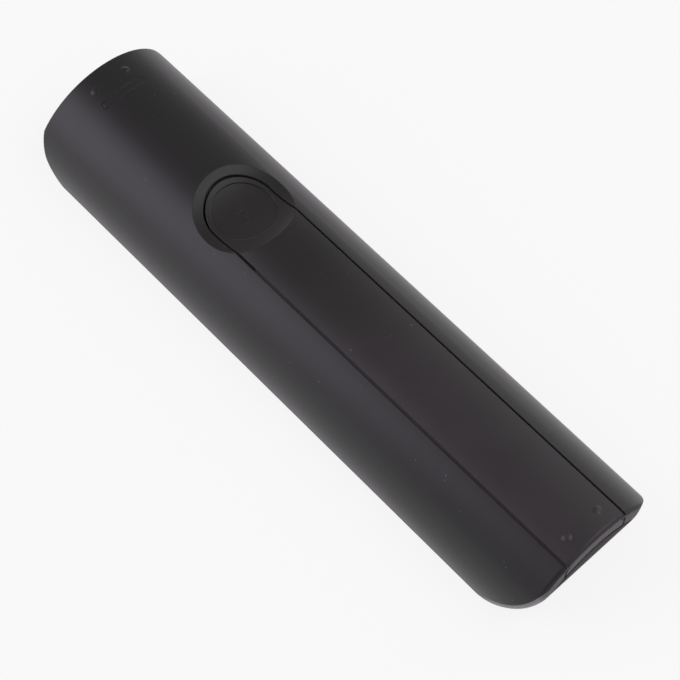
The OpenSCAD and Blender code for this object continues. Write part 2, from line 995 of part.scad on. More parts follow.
// Flat contact against the upper wall of the bay with a pressed dimple.
module flat_contact() {
    translate([-cell_pitch / 2, 0, 0]) {
        block(
            [-contact_hw, bay_y1 - contact_t, cell_z - contact_up],
            [contact_hw, bay_y1, cell_z + contact_up]
        );
        block([-tab_hw, bay_y1 - contact_t, board_top], [tab_hw, bay_y1, cell_z]);
        translate([0, 0, cell_z])
            along_y(bay_y1 - contact_t - plate_dimple, bay_y1 - contact_t / 2)
                circle(dimple_r);
    }
}

module bridge_contact() {
    color(metal) {
        leaf_contact();
        turned_row()
            flat_contact();
        block(
            [-cell_pitch / 2, bay_y0, cell_z - strap_hw],
            [cell_pitch / 2, bay_y0 + contact_t, cell_z + strap_hw]
        );
    }
}

module plus_contact() {
    color(metal)
        flat_contact();
}

module minus_contact() {
    color(metal)
        turned_row()
            leaf_contact();
}

// Plain-shafted screw from z0 up to a cross-slotted head that starts at head_z.
module screw(r, z0, head_z, head_r, head_h) {
    slot = 2 * cross_share * head_r;
    translate([0, 0, z0])
        cylinder(h = head_z - z0 + over, r = r);
    difference() {
        translate([0, 0, head_z])
            cylinder(h = head_h, r = head_r);
        translate([0, 0, head_z + head_h])
            for (a = [0, 90])
                rotate([0, 0, a])
                    cube([slot, cross_w, 2 * cross_depth], center = true);
    }
}

module board_screws() {
    color(metal)
        for (p = BOARD_POSTS)
            translate([p[0], p[1], 0])
                screw(board_screw_r, face_in + 4 * over, board_top, screw_head_r, screw_head_h);
}

module case_screws() {
    color(metal)
        pair()
            translate([case_post_x, case_post_y, 0])
                screw(case_screw_r, board_z + 2 * over, shelf_z + shelf_t, case_head_r, case_head_h);
}

// One sprung key: stepped top, shank through the panel, flange behind it.
module plain_key(k) {
    w = k[2];
    l = k[3];
    r = k[4];
    translate([k[0], k[1], 0]) {
        translate([0, 0, key_front])
            linear_extrude(height = 2 * crown)
                rounded(w - 2 * crown, l - 2 * crown, r - crown);
        translate([0, 0, key_front + crown])
            linear_extrude(height = key_in - key_front - crown)
                rounded(w, l, r);
        translate([0, 0, key_in - flange_t])
            linear_extrude(height = flange_t)
                rounded(w + 2 * flange_w, l + 2 * flange_w, r + flange_w);
    }
}

// Rocker that tilts about a bar on the mat.
module rocker(x) {
    translate([x, rocker_y, 0]) {
        translate([0, 0, rocker_front])
            linear_extrude(height = rocker_in - rocker_front)
                rounded(rocker_w, rocker_l, key_corner);
        translate([0, 0, rocker_flange_z])
            linear_extrude(height = flange_t)
                rounded(rocker_w + 2 * flange_w, rocker_l + 2 * flange_w, key_corner + flange_w);
    }
}

module key_power() { color([0.6, 0.08, 0.07]) plain_key(POWER); }
module key_device_1() { color(key_grey) plain_key(quad(0, device_y)); }
module key_device_2() { color(key_grey) plain_key(quad(1, device_y)); }
module key_device_3() { color(key_grey) plain_key(quad(2, device_y)); }
module key_device_4() { color(key_grey) plain_key(quad(3, device_y)); }
module key_digit_1() { color(key_grey) plain_key(digit(2, 0)); }
module key_digit_2() { color(key_grey) plain_key(digit(1, 0)); }
module key_digit_3() { color(key_grey) plain_key(digit(0, 0)); }
module key_digit_4() { color(key_grey) plain_key(digit(2, 1)); }
module key_digit_5() { color(key_grey) plain_key(digit(1, 1)); }
module key_digit_6() { color(key_grey) plain_key(digit(0, 1)); }
module key_digit_7() { color(key_grey) plain_key(digit(2, 2)); }
module key_digit_8() { color(key_grey) plain_key(digit(1, 2)); }
module key_digit_9() { color(key_grey) plain_key(digit(0, 2)); }
module key_star() { color(key_grey) plain_key(digit(2, 3)); }
module key_digit_0() { color(key_grey) plain_key(digit(1, 3)); }
module key_enter() { color(key_grey) plain_key(digit(0, 3)); }
module key_menu() { color(key_grey) plain_key(MENU); }
module key_guide() { color(key_grey) plain_key(GUIDE); }
module key_back() { color(key_grey) plain_key(BACK); }
module key_info() { color(key_grey) plain_key(INFO); }
module key_mute() { color(key_grey) plain_key(MUTE); }
module key_last() { color(key_grey) plain_key(LAST); }
module key_red() { color([0.6, 0.08, 0.07]) plain_key(quad(3, colour_y)); }
module key_green() { color([0.08, 0.4, 0.14]) plain_key(quad(2, colour_y)); }
module key_yellow() { color([0.7, 0.55, 0.08]) plain_key(quad(1, colour_y)); }
module key_blue() { color([0.08, 0.16, 0.5]) plain_key(quad(0, colour_y)); }
module key_rewind() { color(key_grey) plain_key(big(col_pitch, play_y)); }
module key_play() { color(key_grey) plain_key(big(0, play_y)); }
module key_forward() { color(key_grey) plain_key(big(-col_pitch, play_y)); }
module key_record() { color(key_grey) plain_key(big(col_pitch, stop_y)); }
module key_stop() { color(key_grey) plain_key(big(0, stop_y)); }
module key_pause() { color(key_grey) plain_key(big(-col_pitch, stop_y)); }

module direction_ring() {
    color(key_grey)
        translate([0, ring_y, 0])
            difference() {
                union() {
                    translate([0, 0, key_front])
                        cylinder(h = 2 * crown, r = ring_r - crown);
                    translate([0, 0, key_front + crown])
                        cylinder(h = key_in - key_front - crown, r = ring_r);
                    translate([0, 0, key_in - flange_t])
                        cylinder(h = flange_t, r = ring_r + flange_w);
                }
                cylinder(h = far, r = ring_hole_r);
                translate([0, 0, key_in - key_travel])
                    cylinder(h = far, r = ring_hole_r + flange_w + key_play);
            }
}

module key_ok() {
    color(key_grey)
        translate([0, ring_y, 0]) {
            translate([0, 0, key_front])
                cylinder(h = 2 * crown, r = ok_r - crown);
            translate([0, 0, key_front + crown])
                cylinder(h = ok_flange_z - key_front - crown + over, r = ok_r);
            translate([0, 0, ok_flange_z])
                cylinder(h = ok_flange_t, r = ring_hole_r + flange_w);
        }
}

module rocker_volume() { color(key_grey) rocker(col_pitch); }
module rocker_channel() { color(key_grey) rocker(-col_pitch); }

back_shell();
front_shell();
battery_door();
ir_window();
circuit_board();
key_mat();
controller_chip();
resonator();
filter_capacitor();
ir_emitter_left();
ir_emitter_right();
indicator_led();
cell_a_lower();
cell_a_upper();
cell_b_lower();
cell_b_upper();
bridge_contact();
plus_contact();
minus_contact();
board_screws();
case_screws();
key_power();
key_device_1();
key_device_2();
key_device_3();
key_device_4();
key_digit_1();
key_digit_2();
key_digit_3();
key_digit_4();
key_digit_5();
key_digit_6();
key_digit_7();
key_digit_8();
key_digit_9();
key_star();
key_digit_0();
key_enter();
key_menu();
key_guide();
key_back();
key_info();
key_mute();
key_last();
key_red();
key_green();
key_yellow();
key_blue();
key_rewind();
key_play();
key_forward();
key_record();
key_stop();
key_pause();
direction_ring();
key_ok();
rocker_volume();
rocker_channel();
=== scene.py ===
"""Looks of the remote control: plastics, rubber, metal, a pale floor, soft light and the camera."""

import json
import math

import bmesh
import bpy
from mathutils import Matrix, Vector


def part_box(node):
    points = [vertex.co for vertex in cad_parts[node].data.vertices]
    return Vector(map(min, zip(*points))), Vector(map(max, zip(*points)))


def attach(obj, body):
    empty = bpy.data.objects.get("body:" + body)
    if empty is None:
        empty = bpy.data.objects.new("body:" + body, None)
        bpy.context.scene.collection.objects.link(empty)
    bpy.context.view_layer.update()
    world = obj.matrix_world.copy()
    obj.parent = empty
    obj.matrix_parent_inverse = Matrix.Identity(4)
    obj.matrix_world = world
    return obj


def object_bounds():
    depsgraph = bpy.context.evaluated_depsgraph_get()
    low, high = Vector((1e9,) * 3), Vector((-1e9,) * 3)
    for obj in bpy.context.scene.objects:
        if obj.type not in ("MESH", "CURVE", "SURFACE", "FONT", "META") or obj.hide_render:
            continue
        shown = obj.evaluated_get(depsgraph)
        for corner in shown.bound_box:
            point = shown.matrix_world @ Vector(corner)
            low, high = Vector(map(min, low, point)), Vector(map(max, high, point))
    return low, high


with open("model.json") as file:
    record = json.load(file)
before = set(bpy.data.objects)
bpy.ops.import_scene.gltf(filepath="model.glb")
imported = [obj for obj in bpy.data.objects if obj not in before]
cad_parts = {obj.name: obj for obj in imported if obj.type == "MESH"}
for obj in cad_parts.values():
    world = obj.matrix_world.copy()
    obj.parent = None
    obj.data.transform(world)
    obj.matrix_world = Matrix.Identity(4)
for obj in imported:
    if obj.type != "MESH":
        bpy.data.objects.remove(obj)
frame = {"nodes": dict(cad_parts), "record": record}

CAD_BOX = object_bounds()
CAP_END = CAD_BOX[0][1]

# Camera of the photograph, in the part's frame.
CAMERA_PLACE = (-0.17743, -0.19742, 0.48739)
CAMERA_RIGHT = (0.73434, -0.67877, -0.00205)
CAMERA_UP = (0.59804, 0.64558, 0.47496)
SENSOR_MM = 36.0
LENS_MM = 102.8
CLIP_NEAR, CLIP_FAR = 0.02, 50.0

FLOOR_SIZE = 60.0
FLOOR_COLOUR = (0.9, 0.9, 0.905, 1.0)
FLOOR_ROUGH = 0.9
FLOOR_SHINE = 0.1
# Share of plain white that the floor shows where it is seen; the rest keeps the shadow.
FLOOR_WHITE = 0.85
WHITE = (1.0, 1.0, 1.0, 1.0)
WORLD_STRENGTH = 0.38

# Soft boxes on a dome round the part: name, azimuth, elevation, width, height, power, colour.
LIGHT_DISTANCE = 1.1
LIGHTS = (
    ("key_left", 140.0, 28.0, 0.8, 0.95, 4.7, (0.97, 0.89, 1.05)),
    ("fill_front", 300.0, 56.0, 0.7, 0.55, 1.75, (1.0, 1.0, 1.0)),
    ("side_right", 337.5, 46.0, 0.7, 0.55, 1.3, (1.0, 1.0, 1.0)),
    ("low_right", 0.0, 22.0, 0.7, 0.55, 0.5, (1.0, 1.0, 1.0)),
)

# Moulded plastics: faint clouds, scuffs that come in patches, and dust specks.
CLOUD_SCALE = 26.0
SCUFF_STRETCH = (90.0, 900.0, 90.0)
SCUFF_TURN = (0.0, 0.0, 0.5)
SCUFF_STOPS = ((0.62, 0.0), (0.7, 1.0))
SCUFF_LIGHTER = 3.0
SCUFF_SHARE = 0.25
PATCH_SCALE = 40.0
PATCH_STOPS = ((0.45, 0.0), (0.7, 1.0))
SPECK_SCALE, SPECK_SIZE, SPECK_CORE = 520.0, 0.12, 0.6
SPECK_COLOUR = (0.3, 0.3, 0.31)
SPECK_PATCH_SCALE = 210.0
SPECK_PATCH_STOPS = ((0.6, 0.0), (0.66, 1.0))
# Share of clouds and scuffs in the roughness, and how far it goes below and above the plain one.
CLOUD_WEAR, SCUFF_WEAR = 0.6, 0.4
SMOOTHER, ROUGHER = 0.05, 0.07
# Moulded grain, fine and coarse; its height and the rounding of edges are in metres.
FINE_GRAIN_SCALE, COARSE_GRAIN_SCALE = 2600.0, 900.0
COARSE_GRAIN_SHARE = 0.5
GRAIN_HEIGHT = 0.00005
SOFT_EDGE = 0.0003
# Painted sheen on the door: a lighter tone, none before its start along the handset, full after its
# stop.
PAINTED_SHEEN_START, PAINTED_SHEEN_STOP = 0.01, -0.03
PAINTED_SHEEN_SCALE = 75.0
PAINTED_SHEEN_THIN, PAINTED_SHEEN_THICK = 0.6, 1.4
PAINTED_SHEEN_COLOUR = (0.12, 0.092, 0.122)
# Extra roughness of the coarser faces at the cap end, and the depth over which it fades.
DULL_END = 0.35
DULL_DEPTH = 0.0009
# Sheen of the grain towards the rims; its weight follows the shine of the plastic.
SHEEN_SHARE = 0.6
SHEEN_ROUGH = 0.36
SHEEN_TINT = (1.0, 0.88, 0.98, 1.0)

# Printed signs as strokes on a grid 4 wide and 6 high, the way the user reads them.
GRID_MIDDLE = (2, 3)
STROKE = 0.00038
INK_DEPTH = 0.00002
MITRE_LIMIT = 0.5
ARC_STEP = 20
FULL_TURN = 360

# Sockets of a Mix node that is set to colours.
MIX_A, MIX_B, MIX_RESULT = 6, 7, 2


def arc(x, y, radius, start=0, stop=FULL_TURN):
    """Points on an arc between two angles in degrees; a full turn ends on its first point."""
    sweep = stop - start
    steps = int(sweep / ARC_STEP)
    turns = (math.radians(start + sweep * i / steps) for i in range(steps + 1))
    points = [(x + radius * math.cos(t), y + radius * math.sin(t)) for t in turns]
    return points[:-1] + [points[0]] if sweep == FULL_TURN else points


SIGNS = {
    "0": [[(0, 1), (0, 5), (1, 6), (3, 6), (4, 5), (4, 1), (3, 0), (1, 0), (0, 1)]],
    "1": [[(1, 5), (2, 6), (2, 0)]],
    "2": [[(0, 5), (1, 6), (3, 6), (4, 5), (4, 4), (0, 0), (4, 0)]],
    "3": [[
        (0, 5), (1, 6), (3, 6), (4, 5), (4, 4), (3, 3),
        (4, 2), (4, 1), (3, 0), (1, 0), (0, 1),
    ]],
    "4": [[(3, 0), (3, 6), (0, 2), (4, 2)]],
    "5": [[(4, 6), (0, 6), (0, 3.5), (3, 3.5), (4, 2.5), (4, 1), (3, 0), (1, 0), (0, 1)]],
    "6": [[
        (4, 5), (3, 6), (1, 6), (0, 5), (0, 1), (1, 0),
        (3, 0), (4, 1), (4, 2.5), (3, 3.4), (0.4, 3.4),
    ]],
    "7": [[(0, 6), (4, 6), (1.5, 0)]],
    "8": [arc(2, 4.5, 1.5), arc(2, 1.6, 1.8)],
    "9": [[
        (0, 1), (1, 0), (3, 0), (4, 1), (4, 5), (3, 6),
        (1, 6), (0, 5), (0, 3.5), (1, 2.6), (3.6, 2.6),
    ]],
    "star": [[(2, 1), (2, 5)], [(0.3, 2), (3.7, 4)], [(0.3, 4), (3.7, 2)]],
    "enter": [[(4, 5), (4, 3), (0.6, 3)], [(1.6, 4.4), (0.2, 3), (1.6, 1.6)]],
    "play": [[(0.5, 1), (3.8, 3), (0.5, 5), (0.5, 1)]],
    "pause": [[(1, 1), (1, 5)], [(3, 1), (3, 5)]],
    "stop": [[(0.4, 1.4), (3.6, 1.4), (3.6, 4.6), (0.4, 4.6), (0.4, 1.4)]],
    "record": [arc(2, 3, 1.7)],
    "rewind": [
        [(1.7, 1.3), (-0.7, 3), (1.7, 4.7), (1.7, 1.3)],
        [(4.7, 1.3), (2.3, 3), (4.7, 4.7), (4.7, 1.3)],
    ],
    "forward": [
        [(2.3, 1.3), (4.7, 3), (2.3, 4.7), (2.3, 1.3)],
        [(-0.7, 1.3), (1.7, 3), (-0.7, 4.7), (-0.7, 1.3)],
    ],
    "power": [arc(2, 2.8, 1.9, start=125, stop=415), [(2, 3.2), (2, 5.6)]],
    "bars": [[(0, y), (4, y)] for y in (1.4, 3, 4.6)],
    "grid": [[(0, 1), (4, 1), (4, 5), (0, 5), (0, 1)], [(0.4, 3), (3.6, 3)]],
    "back": [[(4, 3), (0.6, 3)], [(1.7, 4.4), (0.2, 3), (1.7, 1.6)]],
    "dot": [[(2, 0.4), (2, 3.6)], [(2, 5), (2, 5.6)]],
    "silent": [
        [(0, 2), (1.2, 2), (2.6, 0.8), (2.6, 5.2), (1.2, 4), (0, 4), (0, 2)],
        [(3.4, 2), (4.8, 4)],
        [(3.4, 4), (4.8, 2)],
    ],
    "loop": [arc(2, 3, 1.7, start=60, stop=330), [(1.9, 5.8), (2.9, 4.5), (1.5, 3.8)]],
    "plus": [[(2, 1.4), (2, 4.6)], [(0.4, 3), (3.6, 3)]],
    "minus": [[(0.4, 3), (3.6, 3)]],
    "up": [[(0.4, 2), (2, 4), (3.6, 2)]],
    "down": [[(0.4, 4), (2, 2), (3.6, 4)]],
    "left": [[(3, 1.4), (1, 3), (3, 4.6)]],
    "right": [[(1, 1.4), (3, 3), (1, 4.6)]],
    "screen": [[(0, 1.8), (4, 1.8), (4, 5), (0, 5), (0, 1.8)], [(1, 0.7), (3, 0.7)]],
    "box": [[(-0.3, 1.9), (4.3, 1.9), (4.3, 4.1), (-0.3, 4.1), (-0.3, 1.9)]],
    "disc": [arc(2, 3, 2), arc(2, 3, 0.6)],
    "sound": [[(0.6, 2), (1.8, 2), (3.4, 0.8), (3.4, 5.2), (1.8, 4), (0.6, 4), (0.6, 2)]],
}

# Signs on each key: sign, offset to the user's right and up, size of one grid unit, all in metres.
BIG, SMALL = 0.00055, 0.00042
ROCKER_REACH, RING_REACH = 0.0092, 0.0122
BIG_SIGNS = ("star", "enter", "play", "pause", "stop", "record", "rewind", "forward", "power")
DEVICE_SIGNS = ("screen", "box", "disc", "sound")
SMALL_SIGNS = {
    "menu": "bars", "guide": "grid", "back": "back",
    "info": "dot", "mute": "silent", "last": "loop",
}
LEGENDS = {
    **{f"key_digit_{n}": [(str(n), 0.0, 0.0, BIG)] for n in range(10)},
    **{f"key_device_{n}": [(sign, 0.0, 0.0, SMALL)] for n, sign in enumerate(DEVICE_SIGNS, 1)},
    **{f"key_{sign}": [(sign, 0.0, 0.0, BIG)] for sign in BIG_SIGNS},
    **{f"key_{name}": [(sign, 0.0, 0.0, SMALL)] for name, sign in SMALL_SIGNS.items()},
    "rocker_volume": [("plus", 0.0, ROCKER_REACH, BIG), ("minus", 0.0, -ROCKER_REACH, BIG)],
    "rocker_channel": [("up", 0.0, ROCKER_REACH, BIG), ("down", 0.0, -ROCKER_REACH, BIG)],
    "direction_ring": [
        ("up", 0.0, RING_REACH, BIG),
        ("down", 0.0, -RING_REACH, BIG),
        ("left", -RING_REACH, 0.0, BIG),
        ("right", RING_REACH, 0.0, BIG),
    ],
}


class Graph:
    """Small helper that adds shader nodes to one material."""

    def __init__(self, name):
        self.material = bpy.data.materials.new(name)
        self.material.use_nodes = True
        self.tree = self.material.node_tree
        self.shader = self.tree.nodes["Principled BSDF"]
        self.coords = self.add("ShaderNodeTexCoord").outputs["Object"]

    def add(self, kind, **settings):
        node = self.tree.nodes.new(kind)
        for key, value in settings.items():
            setattr(node, key, value)
        return node

    def link(self, source, target):
        self.tree.links.new(source, target)

    def stretched(self, scale, turn=(0.0, 0.0, 0.0)):
        """Object coordinates, scaled apart along the three axes and turned."""
        node = self.add("ShaderNodeMapping")
        node.inputs["Scale"].default_value = scale
        node.inputs["Rotation"].default_value = turn
        self.link(self.coords, node.inputs["Vector"])
        return node.outputs["Vector"]

    def noise(self, scale, detail=2.0, rough=0.5, coords=None):
        node = self.add("ShaderNodeTexNoise")
        node.inputs["Scale"].default_value = scale
        node.inputs["Detail"].default_value = detail
        node.inputs["Roughness"].default_value = rough
        self.link(coords or self.coords, node.inputs["Vector"])
        return node.outputs["Fac"]

    def specks(self, scale, size):
        """1 inside scattered round specks, 0 elsewhere."""
        node = self.add("ShaderNodeTexVoronoi")
        node.inputs["Scale"].default_value = scale
        self.link(self.coords, node.inputs["Vector"])
        stops = ((0.0, 1.0), (size * SPECK_CORE, 1.0), (size, 0.0))
        return self.ramp(node.outputs["Distance"], stops)

    def ramp(self, value, stops):
        """Grey ramp over (position, level) stops."""
        node = self.add("ShaderNodeValToRGB")
        elements = node.color_ramp.elements
        while len(elements) < len(stops):
            elements.new(0.5)
        for element, (position, level) in zip(elements, stops):
            element.position = position
            element.color = (level, level, level, 1.0)
        self.link(value, node.inputs["Fac"])
        return node.outputs["Color"]

    def math(self, operation, a, b):
        node = self.add("ShaderNodeMath", operation=operation)
        for socket, value in zip(node.inputs, (a, b)):
            if isinstance(value, (int, float)):
                socket.default_value = value
            else:
                self.link(value, socket)
        return node.outputs["Value"]

    def times(self, a, b):
        return self.math("MULTIPLY", a, b)

    def plus(self, a, b):
        return self.math("ADD", a, b)

    def spread(self, value, low, high, start=0.0, stop=1.0):
        """Maps start..stop to low..high."""
        node = self.add("ShaderNodeMapRange")
        node.inputs["From Min"].default_value = start
        node.inputs["From Max"].default_value = stop
        node.inputs["To Min"].default_value = low
        node.inputs["To Max"].default_value = high
        self.link(value, node.inputs["Value"])
        return node.outputs["Result"]

    def along(self, start, stop, low, high):
        """Goes from low to high between two places along the handset."""
        axes = self.add("ShaderNodeSeparateXYZ")
        self.link(self.coords, axes.inputs["Vector"])
        return self.spread(axes.outputs["Y"], low, high, start, stop)

    def mix(self, factor, a, b):
        """Colour between a and b; each is a tuple or a socket."""
        node = self.add("ShaderNodeMix", data_type="RGBA")
        self.link(factor, node.inputs["Factor"])
        for socket, value in ((node.inputs[MIX_A], a), (node.inputs[MIX_B], b)):
            if isinstance(value, tuple):
                socket.default_value = (*value, 1.0)
            else:
                self.link(value, socket)
        return node.outputs[MIX_RESULT]

    def bump(self, height, distance, strength, edge_radius=0.0):
        """Relief from a height, on edges that look rounded by edge_radius."""
        node = self.add("ShaderNodeBump")
        node.inputs["Distance"].default_value = distance
        node.inputs["Strength"].default_value = strength
        self.link(height, node.inputs["Height"])
        if edge_radius:
            edge = self.add("ShaderNodeBevel", samples=6)
            edge.inputs["Radius"].default_value = edge_radius
            self.link(edge.outputs["Normal"], node.inputs["Normal"])
        self.link(node.outputs["Normal"], self.shader.inputs["Normal"])

    def surface(self, colour, roughness):
        self.link(colour, self.shader.inputs["Base Color"])
        self.link(roughness, self.shader.inputs["Roughness"])

    def set(self, **values):
        for key, value in values.items():
            self.shader.inputs[key.replace("_", " ")].default_value = value


def scaled(colour, factor):
    return tuple(factor * level for level in colour)


def moulded(name, dark, light, rough, grain, dust, edge_radius=SOFT_EDGE, film=0.0, shine=0.5):
    """Grained black moulding with faint clouds, dust and scuffs, dull at the cap end, and painted
    sheen where film is set.
    """
    g = Graph(name)
    cloud = g.noise(CLOUD_SCALE, detail=5.0, rough=0.6)
    streak = g.noise(1.0, detail=3.0, rough=0.7, coords=g.stretched(SCUFF_STRETCH, SCUFF_TURN))
    patch = g.noise(PATCH_SCALE, detail=3.0, rough=0.6)
    worn = g.times(g.ramp(streak, SCUFF_STOPS), g.ramp(patch, PATCH_STOPS))
    dusty = g.ramp(g.noise(SPECK_PATCH_SCALE), SPECK_PATCH_STOPS)
    speck = g.times(g.specks(SPECK_SCALE, SPECK_SIZE), dusty)
    colour = g.mix(cloud, dark, light)
    colour = g.mix(g.times(worn, SCUFF_SHARE), colour, scaled(light, SCUFF_LIGHTER))
    # Painted sheen: a lighter mottled tone towards the cap end, standing in for light on the door.
    if film:
        sheen_mottle = g.spread(g.noise(PAINTED_SHEEN_SCALE, detail=4.0, rough=0.65), PAINTED_SHEEN_THIN, PAINTED_SHEEN_THICK)
        sheen_amount = g.times(g.along(PAINTED_SHEEN_START, PAINTED_SHEEN_STOP, 0.0, film), sheen_mottle)
        colour = g.mix(sheen_amount, colour, PAINTED_SHEEN_COLOUR)
    colour = g.mix(g.times(speck, dust), colour, SPECK_COLOUR)
    wear = g.plus(g.times(cloud, CLOUD_WEAR), g.times(worn, SCUFF_WEAR))
    dull = g.along(CAP_END, CAP_END + DULL_DEPTH, DULL_END, 0.0)
    g.surface(colour, g.plus(g.spread(wear, rough - SMOOTHER, rough + ROUGHER), dull))
    g.set(Specular_IOR_Level=shine, Sheen_Weight=SHEEN_SHARE * shine)
    g.set(Sheen_Roughness=SHEEN_ROUGH, Sheen_Tint=SHEEN_TINT)
    fine = g.noise(FINE_GRAIN_SCALE, detail=2.0, rough=0.6)
    coarse = g.times(g.noise(COARSE_GRAIN_SCALE), COARSE_GRAIN_SHARE)
    g.bump(g.plus(fine, coarse), GRAIN_HEIGHT, grain, edge_radius)
    return g.material


def rubber(name, colour):
    """Satin key rubber, a little polished where fingers touch it."""
    g = Graph(name)
    cloud = g.noise(120.0, detail=4.0, rough=0.6)
    polish = g.noise(45.0, detail=2.0)
    shade = g.mix(cloud, scaled(colour, 0.85), scaled(colour, 1.12))
    g.surface(shade, g.spread(polish, low=0.42, high=0.62))
    grain = g.noise(1800.0, detail=2.0, rough=0.6)
    g.bump(grain, distance=0.00004, strength=0.25, edge_radius=0.00025)
    return g.material


def plated(name, colour, rough):
    """Plated metal with drawn streaks."""
    g = Graph(name)
    streak = g.noise(1.0, detail=4.0, rough=0.6, coords=g.stretched((300.0, 40.0, 1800.0)))
    shade = g.mix(streak, scaled(colour, 0.82), colour)
    g.surface(shade, g.spread(streak, low=rough - 0.06, high=rough + 0.1))
    g.set(Metallic=1.0)
    g.bump(streak, distance=0.00003, strength=0.2, edge_radius=0.0001)
    return g.material


def clear(name, colour, rough):
    """Tinted glossy plastic that lets some light through."""
    g = Graph(name)
    cloud = g.noise(300.0, detail=3.0)
    shade = g.mix(cloud, scaled(colour, 0.8), colour)
    g.surface(shade, g.spread(cloud, low=rough, high=rough + 0.08))
    g.set(Transmission_Weight=0.35, IOR=1.5)
    g.bump(g.noise(700.0), distance=0.00002, strength=0.1, edge_radius=0.0002)
    return g.material


def laminate(name):
    """Green solder mask with copper tracks showing through."""
    g = Graph(name)
    tracks = g.add("ShaderNodeTexBrick", offset=0.5)
    tracks.inputs["Scale"].default_value = 160.0
    tracks.inputs["Mortar Size"].default_value = 0.06
    g.link(g.coords, tracks.inputs["Vector"])
    lines = g.ramp(tracks.outputs["Fac"], ((0.2, 0.0), (0.8, 1.0)))
    shade = g.noise(90.0, detail=3.0)
    base = g.mix(shade, (0.018, 0.12, 0.05), (0.03, 0.17, 0.075))
    g.surface(g.mix(lines, base, (0.06, 0.26, 0.11)), g.spread(shade, low=0.3, high=0.42))
    g.bump(lines, distance=0.00004, strength=0.3, edge_radius=0.0001)
    return g.material


def jacket(name, base, tip):
    """Cell in a dark film with a pale band near its raised end, bare steel at both ends."""
    g = Graph(name)
    place = g.along(base, tip, 0.0, 1.0)
    shade = g.noise(70.0, detail=3.0)
    bare = g.ramp(place, ((0.02, 1.0), (0.03, 0.0), (0.95, 0.0), (0.96, 1.0)))
    band = g.ramp(place, ((0.7, 0.0), (0.705, 1.0), (0.945, 1.0), (0.95, 0.0)))
    film = g.mix(shade, (0.03, 0.032, 0.036), (0.045, 0.048, 0.054))
    film = g.mix(band, film, (0.42, 0.33, 0.2))
    g.surface(g.mix(bare, film, (0.6, 0.59, 0.57)), g.spread(shade, low=0.22, high=0.36))
    g.link(bare, g.shader.inputs["Metallic"])
    relief = g.plus(g.noise(800.0), g.times(bare, -3.0))
    g.bump(relief, distance=0.00002, strength=0.2, edge_radius=0.0002)
    return g.material


def ink(name):
    """Pale print, thin where fingers rub it."""
    g = Graph(name)
    rubbed = g.ramp(g.noise(900.0, detail=3.0, rough=0.6), ((0.35, 0.0), (0.6, 1.0)))
    shade = g.mix(rubbed, (0.48, 0.48, 0.47), (0.7, 0.7, 0.69))
    g.surface(shade, g.spread(rubbed, low=0.5, high=0.65))
    g.bump(g.noise(2400.0), distance=0.00001, strength=0.2)
    return g.material


def slot_materials():
    """One material for each material slot of the record."""
    return {
        "shell": moulded(
            "shell_black", (0.0068, 0.0054, 0.0062), (0.0092, 0.0074, 0.0084),
            rough=0.43, grain=0.2, dust=0.35,
        ),
        "panel": moulded(
            "panel_black", (0.011, 0.0105, 0.009), (0.017, 0.0165, 0.0145),
            rough=0.46, grain=0.18, dust=0.25, shine=0.2,
        ),
        "window": clear("window_red", (0.05, 0.004, 0.006), rough=0.08),
        "board": laminate("board_green"),
        "mat": rubber("mat_grey", (0.17, 0.17, 0.18)),
        "chip": moulded(
            "chip_black", (0.01, 0.01, 0.011), (0.016, 0.016, 0.017),
            rough=0.5, grain=0.2, dust=0.1, edge_radius=0.0001,
        ),
        "capacitor": plated("capacitor_sleeve", (0.03, 0.04, 0.16), rough=0.3),
        "emitter": clear("emitter_tint", (0.25, 0.22, 0.34), rough=0.05),
        "indicator": clear("indicator_red", (0.45, 0.02, 0.015), rough=0.05),
        "contact": plated("contact_nickel", (0.62, 0.6, 0.56), rough=0.28),
        "screw": plated("screw_zinc", (0.6, 0.6, 0.58), rough=0.35),
        "key": rubber("key_grey", (0.09, 0.093, 0.1)),
        "red_key": rubber("key_red", (0.32, 0.015, 0.012)),
        "green_key": rubber("key_green", (0.012, 0.14, 0.03)),
        "yellow_key": rubber("key_yellow", (0.45, 0.26, 0.01)),
        "blue_key": rubber("key_blue", (0.012, 0.03, 0.22)),
    }


def paint_nodes():
    """Gives every CAD node the material of its slot; the door and the cells have their own."""
    by_slot = slot_materials()
    # The door gets painted sheen, a lighter tone towards its cap end, through film.
    door = moulded(
        "door_black", (0.009, 0.0072, 0.0066), (0.0122, 0.0098, 0.009),
        rough=0.43, grain=0.14, dust=0.5, film=0.15,
    )
    slots = {part["node"]: part["material_slot"] for part in frame["record"]["subparts"]}
    for name, node in frame["nodes"].items():
        if name == "battery_door":
            material = door
        elif name.startswith("cell_"):
            # The two rows of cells point opposite ways.
            ends = [corner[1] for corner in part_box(name)]
            base, tip = ends if name.startswith("cell_a") else reversed(ends)
            material = jacket(name + "_jacket", base, tip)
        else:
            material = by_slot[slots[name]]
        node.data.materials.clear()
        node.data.materials.append(material)


def add_object(name, data):
    added = bpy.data.objects.new(name, data)
    bpy.context.scene.collection.objects.link(added)
    return added


def stroke_edges(points):
    """Left and right edge of a stroke, mitred at its bends, and whether the stroke is closed."""
    closed = points[0] == points[-1]
    path = [Vector(p) for p in (points[:-1] if closed else points)]
    last = len(path) - 1
    edges = []
    for i, here in enumerate(path):
        ways = []
        if closed or i:
            ways.append((here - path[i - 1]).normalized())
        if closed or i < last:
            ways.append((path[(i + 1) % len(path)] - here).normalized())
        side = Vector((-sum(way.y for way in ways), sum(way.x for way in ways))).normalized()
        across = Vector((-ways[0].y, ways[0].x))
        reach = 0.5 * STROKE / max(MITRE_LIMIT, side.dot(across))
        edges.append((here + reach * side, here - reach * side))
    return edges, closed


